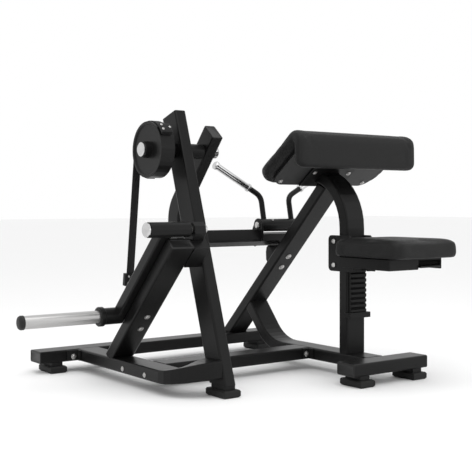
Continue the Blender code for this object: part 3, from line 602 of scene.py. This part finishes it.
def seat_pad_shape():
    """The seat before it is inflated: a block with round corners, a crown and soft edges."""
    low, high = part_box("seat_pad")
    half_x, half_y = (high.x - low.x) / 2 + 0.0065, (high.y - low.y) / 2 + 0.0040
    base, top = low.z + 0.0005, high.z - 0.004
    middle_y = (low.y + high.y) / 2
    edge, corner = 0.019, 0.036         # radius of the upper edge, and of the corners in plan
    rings = [(0.016, base), (0.006, base + 0.002), (0.001, base + 0.008), (0.0, base + 0.016)]
    for k in range(7):
        angle = math.radians(90 * k / 6)
        rings.append((edge * (1 - math.cos(angle)), top - edge + edge * math.sin(angle)))
    for inset, lift in ((0.050, 0.0015), (0.085, 0.0025), (0.125, 0.003)):
        rings.append((inset, top + lift))
    shape = bmesh.new()
    where = Matrix.Translation((CENTRE_X, middle_y, 0))
    loft(shape, where, [(rounded_rectangle(half_x - inset, half_y - inset,
                                           max(corner - inset * 0.5, 0.012), 8), z)
                        for inset, z in rings])
    return shape


def apply_modifiers(piece):
    """Bake a piece's modifiers into its mesh."""
    view = piece.evaluated_get(bpy.context.evaluated_depsgraph_get())
    mesh = bpy.data.meshes.new_from_object(view)
    piece.modifiers.clear()
    piece.data = mesh


def inflated(name, shape, body, held, voxel, pressure, most):
    """Remesh a cushion, blow it up a little as cloth and cap the swelling.

    held() says which points stay on the board, and most is how far a point may move.
    """
    frames = 20
    piece = settle(name, shape, VINYL, body, 180.0)
    remesh = piece.modifiers.new("even_mesh", "REMESH")
    remesh.mode = "VOXEL"
    remesh.voxel_size = voxel
    apply_modifiers(piece)
    relax = piece.modifiers.new("relaxed", "SMOOTH")
    relax.factor = 0.5
    relax.iterations = 2
    apply_modifiers(piece)
    mesh = piece.data
    start = [v.co.copy() for v in mesh.vertices]
    group = piece.vertex_groups.new(name="held")
    group.add([v.index for v in mesh.vertices if held(v.co)], 1.0, "REPLACE")
    cloth = piece.modifiers.new("cloth", "CLOTH")
    cloth.settings.quality = 4
    cloth.settings.mass = 0.4
    cloth.settings.tension_stiffness = 25
    cloth.settings.compression_stiffness = 25
    cloth.settings.bending_stiffness = 2.0
    cloth.settings.use_pressure = True
    cloth.settings.uniform_pressure_force = pressure
    cloth.settings.vertex_group_mass = "held"
    cloth.settings.effector_weights.gravity = 0.0
    cloth.point_cache.frame_start = 1
    cloth.point_cache.frame_end = frames
    for number in range(1, frames + 1):
        bpy.context.scene.frame_set(number)
    view = piece.evaluated_get(bpy.context.evaluated_depsgraph_get())
    blown = [v.co.copy() for v in view.data.vertices]
    piece.modifiers.remove(cloth)
    piece.vertex_groups.remove(group)
    bpy.context.scene.frame_set(1)
    for vertex, before, after in zip(mesh.vertices, start, blown):
        move = after - before
        if move.length > 1e-9:
            vertex.co = before + move * (most * math.tanh(move.length / most) / move.length)
    mesh.shade_smooth()
    smooth = piece.modifiers.new("fine_surface", "SUBSURF")
    smooth.levels = 1
    smooth.render_levels = 1
    return piece


def cushions():
    """The arm pad and the seat, blown up a little over their boards."""
    def on_board(point):
        """On the underside over the board, or on the lip's inner face."""
        y, z = point.y - FRONT_Y, point.z
        off_centre = abs(point.x - CENTRE_X)
        under = off_pad(y, z)[1] < PAD_SEAM + 0.006 and off_centre < BOARD_HALF - 0.01
        return under or (y > LIP_Y - 0.0065 and z < 0.90 and off_centre < BOARD_HALF)

    def on_tray(point):
        """On the underside over the tray."""
        return point.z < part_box("seat_pad")[0].z + 0.004

    pad = inflated("arm_cushion", arm_pad_shape(), "frame", on_board,
                   voxel=0.0095, pressure=2.5, most=0.0045)
    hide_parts("arm_pad")
    seat = inflated("seat_cushion", seat_pad_shape(), "seat", on_tray,
                    voxel=0.0090, pressure=3.0, most=0.006)
    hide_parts("seat_pad")


def piping():
    """The sewn cord along the lower edge of the seat."""
    low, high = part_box("seat_pad")
    centre = (low + high) / 2
    half_x, half_y = (high.x - low.x) / 2 + 0.0030, (high.y - low.y) / 2 + 0.0010
    loop = [Vector((centre.x + x, centre.y + y, low.z + 0.0105))
            for x, y in resampled(rounded_rectangle(half_x, half_y, 0.042, 12), 0.006)]
    cord_r, sides = 0.0023, 10
    up = Vector((0, 0, 1))
    shape = bmesh.new()
    rows = []
    for k, point in enumerate(loop):
        heading = (loop[(k + 1) % len(loop)] - loop[k - 1]).normalized()
        out = heading.cross(up)
        angles = [math.tau * j / sides for j in range(sides)]
        rows.append([shape.verts.new(point + cord_r * (math.cos(a) * out + math.sin(a) * up))
                     for a in angles])
    join_rows(shape, rows + rows[:1])
    settle("seat_piping", shape, VINYL, "seat", 180.0)


cushions()
piping()


# ---------------------------------------------------------------- belt
ELBOW = at(0, 0.510, 0.918)             # the curl axle
BELT_PIN = Vector((middle("belt_link").x, at(0, 0.702, 0).y, 0.300))    # at the load arm
BELT_UP = Vector((0, -0.12242, 0.99248))            # along the span at rest
BELT_OUT = Vector((0, 0.99248, 0.12242))            # square to its flat side


def belt():
    """The free span of belt, which the wheel winds up, from its clamp to the wheel."""
    radius = 0.1150                     # middle of the belt on the wheel
    half, thick, start = 0.017, 0.0017, 0.1050      # its section's halves, and where it starts
    pin = BELT_PIN
    offset = Vector((pin.y - ELBOW.y, pin.z - ELBOW.z))
    tilt = math.atan2(offset.x, -offset.y) - math.asin(radius / offset.length)
    length = math.sqrt(offset.length ** 2 - radius ** 2)
    up = Vector((0, -math.sin(tilt), math.cos(tilt)))
    out = Vector((0, math.cos(tilt), math.sin(tilt)))
    shape = bmesh.new()
    steps = 60
    section = rounded_rectangle(half, thick, 0.0012, 3)
    rings = [(section, start + (length - start) * k / steps) for k in range(steps + 1)]
    turn = Matrix((Vector((1, 0, 0)), out, up)).transposed().to_4x4()
    loft(shape, Matrix.Translation(pin) @ turn, rings)
    span = settle("belt_free_span", shape, BELT, "belt")
    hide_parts("belt_span")
    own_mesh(span)


belt()


# ---------------------------------------------------------------- bolts, caps and brackets
LEG_ANGLE = math.radians(45.4)          # slope of the support leg
LEG_DOWN = Vector((0, math.cos(LEG_ANGLE), -math.sin(LEG_ANGLE)))
LEG_OUT = Vector((0, math.sin(LEG_ANGLE), math.cos(LEG_ANGLE)))
LEG_TOP_Y, LEG_TOP_Z = 0.245, 0.544     # the upper end of its user's side
TUBE_LONG, TUBE_SHORT = 0.050, 0.025    # half the frame tube's longer and shorter side


def fasteners():
    """Button-head bolts on the frame, the wheel's clamp, the belt's clamp and the seat."""
    post = 1.151 - 0.050 / math.sqrt(2)     # y + z on the user's face of the pad post
    leg = Vector((-0.812, LEG_TOP_Y, LEG_TOP_Z))
    under_pad = (0, -PAD_SIN, -PAD_COS)
    groups = {                              # body, then each bolt's place, axis and radius
        "pad_post_bolts": ("frame", [((0, y, post - y), (0, -1, -1), 0.0095)
                                     for y in (0.643, 0.693)]),
        "leg_bolts": ("frame", [(leg + LEG_DOWN * d, -LEG_OUT, 0.0085) for d in (0.384, 0.456)]),
        "side_rail_bolts": ("frame", [((-0.870, y, 0.063), (-1, 0, 0), 0.0066)
                                      for y in (0.437, 0.605)]),
        "bracket_bolts": ("frame", [((-0.892, 0.9837, 0.064), (0, -1, 0), 0.0085),
                                    ((-0.0685, 0.4387, 0.068), (0, -1, 0), 0.0085)]),
        "board_bolts": ("frame", [((x, *on_pad(-0.152, 0.8895)), under_pad, 0.0070)
                                  for x in (-0.2325, 0.2325)]),
        "plate_bolts": ("frame", [((x, *on_pad(-0.2215, 0.8830)), under_pad, 0.0070)
                                  for x in (-0.0946, 0.0946)]),
        "carriage_screws": ("seat", [((x, 0.200, 0.470), (math.copysign(1, x), 0, 0), 0.0065)
                                     for x in (-0.061, 0.061)]),
    }
    for name, (body, places) in groups.items():
        shape = bmesh.new()
        for point, axis, radius in places:
            bolt(shape, at(*point), axis, radius)
        settle(name, shape, ZINC, body)

    clamp_x = middle("belt_wheel_clamp").x
    clamp_r = 0.1271                        # the clamp's outer face, from the curl axle
    shape = bmesh.new()
    for x, angle in ((-0.0165, 144), (-0.0165, 134), (0.0165, 139)):
        out = Vector((0, math.cos(math.radians(angle)), math.sin(math.radians(angle))))
        face = Vector((clamp_x + x, ELBOW.y, ELBOW.z)) + out * clamp_r
        bolt(shape, face, out, 0.0055, washer=False)
    settle("wheel_clamp_screws", shape, ZINC, "curl")

    clamp_half = 0.0093                     # half the thickness of the belt's clamp
    shape = bmesh.new()
    for side in (-1, 1):
        for up in (0.092, 0.118):
            for x in (-0.011, 0.011):
                face = BELT_PIN + Vector((x, 0, 0)) + BELT_UP * up + BELT_OUT * side * clamp_half
                bolt(shape, face, BELT_OUT * side, 0.0050, washer=False)
    settle("belt_clamp_screws", shape, ZINC, "belt")

    tilt = math.radians(40)
    out = Vector((0, -math.sin(tilt), math.cos(tilt)))
    pivot, pivot_r = at(-0.040, 0.726, 0.613), 0.0283      # on the handles' pivot tube
    shape = bmesh.new()
    lathe(shape, facing(pivot + out * pivot_r, out),
          [(0, 0.0048), (0.0025, 0.0048), (0.0025, 0.0030), (0.0050, 0.0030), (0.0056, 0.0022),
           (0.0068, 0.0030), (0.0078, 0.0026), (0.0084, 0.0014), (0.0084, 0)], 20)
    settle("grease_nipple", shape, ZINC, "handles")


def tube_caps():
    """Moulded caps in the open ends of the tubes."""
    side_on, upright = (1, 0, 0), (0, 0, 1)
    for name, (low, high) in (("front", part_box("front_cross_tube")),
                              ("rear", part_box("rear_cross_tube"))):
        mid = (low + high) / 2
        size = (high - low) / 2
        for side, x, sign in (("left", low.x, -1), ("right", high.x, 1)):
            tube_cap("cap_%s_%s" % (name, side), (x, mid.y, mid.z), (sign, 0, 0), upright,
                     size.y, size.z, "frame")

    lean, tower_length = math.radians(18.2), 1.102
    along = Vector((0, math.sin(lean), math.cos(lean)))
    across = Vector((0, math.cos(lean), -math.sin(lean)))
    tower_foot = at(-0.675, 0.147, 0.029)   # the user's side of the tower, at its foot
    tower_top = tower_foot + across * TUBE_LONG + along * tower_length
    tube_cap("cap_tower_top", tower_top, along, side_on, TUBE_LONG, TUBE_SHORT, "frame",
             proud=0.002)

    leg_top = at(-0.82, LEG_TOP_Y, LEG_TOP_Z) + LEG_OUT * TUBE_SHORT
    tube_cap("cap_leg_top", leg_top, -LEG_DOWN, side_on, TUBE_SHORT, TUBE_LONG, "frame")

    drop = math.radians(49.5)               # slope of the curl arm's upper stretch
    heading = Vector((0, math.cos(drop), -math.sin(drop)))
    arm_top = Vector((middle("curl_arm").x, at(0, 0.4632, 0).y, 0.9946))
    tube_cap("cap_curl_arm", arm_top, -heading, side_on, 0.041, TUBE_SHORT, "curl")


def brackets():
    """Angle plates that bolt the rails' ends to the cross tubes."""
    thick, wing, low, high = 0.006, 0.032, 0.047, 0.091
    for name, x, y, reach in (("bracket_middle", -0.0503, 0.4447, 0.036),
                              ("bracket_rear", -0.8703, 0.9897, 0.052)):
        outline = [(x - reach, y), (x - reach, y - thick), (x - thick, y - thick),
                   (x - thick, y - wing), (x, y - wing), (x, y)]
        shape = bmesh.new()
        loft(shape, Matrix.Translation(at(0, 0, 0)), [(outline, low), (outline, high)])
        bmesh.ops.recalc_face_normals(shape, faces=shape.faces[:])
        bmesh.ops.bevel(shape, geom=shape.edges[:], offset=EASED_EDGE, segments=2,
                        profile=0.5, affect="EDGES")
        settle(name, shape, FRAME_BLACK, "frame")


fasteners()
tube_caps()
brackets()


# ---------------------------------------------------------------- floor, light and camera
def softbox(name, place, target, size, power):
    """A square area light that points at a target."""
    light = bpy.data.lights.new(name, "AREA")
    light.size = size
    light.energy = power
    lamp = bpy.data.objects.new(name, light)
    lamp.location = place
    lamp.rotation_euler = (Vector(target) - Vector(place)).to_track_quat("-Z", "Y").to_euler()
    bpy.context.scene.collection.objects.link(lamp)


def studio():
    """A plain pale floor under soft light, and the camera."""
    floor_size = 40.0
    sheet = bmesh.new()
    bmesh.ops.create_grid(sheet, x_segments=1, y_segments=1, size=floor_size)
    mesh = bpy.data.meshes.new("studio_floor")
    sheet.to_mesh(mesh)
    sheet.free()
    paint = Finish("studio_floor_paint")
    paint.set(Base_Color=grey(0.92), Roughness=0.9, Specular_IOR_Level=0.1)
    mesh.materials.append(paint.material)
    floor = bpy.data.objects.new("studio_floor", mesh)
    bpy.context.scene.collection.objects.link(floor)

    world = bpy.data.worlds.new("studio_world")
    world.use_nodes = True
    world.node_tree.nodes["Background"].inputs["Color"].default_value = (1.0, 1.0, 1.0, 1.0)
    world.node_tree.nodes["Background"].inputs["Strength"].default_value = 1.0
    bpy.context.scene.world = world
    bpy.context.scene.view_settings.view_transform = "Standard"

    softbox("key_above", (-0.6, -1.2, 3.4), (0.0, 0.0, 0.5), 3.0, 45.0)
    softbox("front_fill", (2.6, -3.6, 1.8), (0.2, 0.0, 0.5), 2.4, 12.0)

    lens = bpy.data.cameras.new("camera")
    lens.lens = 71.5                    # millimetres, as the sensor's width
    lens.sensor_width = 36.0
    lens.shift_y = -0.0657
    camera = bpy.data.objects.new("camera", lens)
    camera.location = at(-2.678, -2.617, 0.704)
    camera.rotation_euler = (math.radians(90), 0.0, math.radians(-36.2))
    bpy.context.scene.collection.objects.link(camera)
    bpy.context.scene.camera = camera


studio()
